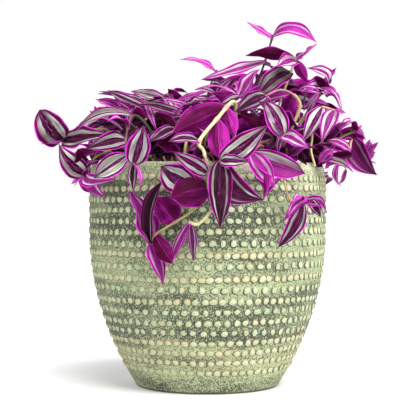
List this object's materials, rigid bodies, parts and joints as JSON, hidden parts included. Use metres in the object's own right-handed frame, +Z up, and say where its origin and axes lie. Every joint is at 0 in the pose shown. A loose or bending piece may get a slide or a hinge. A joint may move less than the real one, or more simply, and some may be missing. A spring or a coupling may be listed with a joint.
{
  "type": "potted tradescantia",
  "caption": "House plant with striped purple leaves on trailing stems, growing in soil in a round stoneware pot with a wall of raised dots.",
  "frame": {"origin": "centre of the underside of the pot, where it stands", "axes": "+Z up along the pot's axis, -Y towards the front that the picture shows, +X to the right seen from the front"},
  "size_m": [0.2893, 0.2757, 0.3076],
  "materials": {
    "pot_stoneware": "matt sage green glaze with cream dots and dark speckle",
    "potting_soil": "loose dark brown potting mix",
    "leaf": "satin living leaf, plum with silver stripes above and magenta below"
  },
  "bodies": {
    "root": {"pot": "pot_stoneware", "soil": "potting_soil", "stem_centre": "leaf", "stem_centre_right": "leaf", "stem_cream": "leaf", "stem_fill_01": "leaf", "stem_fill_02": "leaf", "stem_fill_03": "leaf", "stem_fill_04": "leaf", "stem_fill_05": "leaf", "stem_fill_06": "leaf", "stem_fill_07": "leaf", "stem_fill_08": "leaf", "stem_fill_09": "leaf", "stem_fill_10": "leaf", "stem_fill_11": "leaf", "stem_fill_12": "leaf", "stem_fill_13": "leaf", "stem_fill_14": "leaf", "stem_fill_15": "leaf", "stem_fill_16": "leaf", "stem_fill_17": "leaf", "stem_front_left": "leaf", "stem_left_back": "leaf", "stem_left_far": "leaf", "stem_left_front": "leaf", "stem_left_low": "leaf", "stem_left_ridge": "leaf", "stem_pink": "leaf", "stem_ridge": "leaf", "stem_right_curled": "leaf", "stem_right_low": "leaf", "stem_right_pair": "leaf", "stem_right_top": "leaf", "stem_silver": "leaf", "stem_sprig": "leaf", "stem_tan": "leaf", "stem_top_left": "leaf", "stem_top_right": "leaf", "stem_top_tall": "leaf", "stem_trailing": "leaf"}
  },
  "joints": []
}
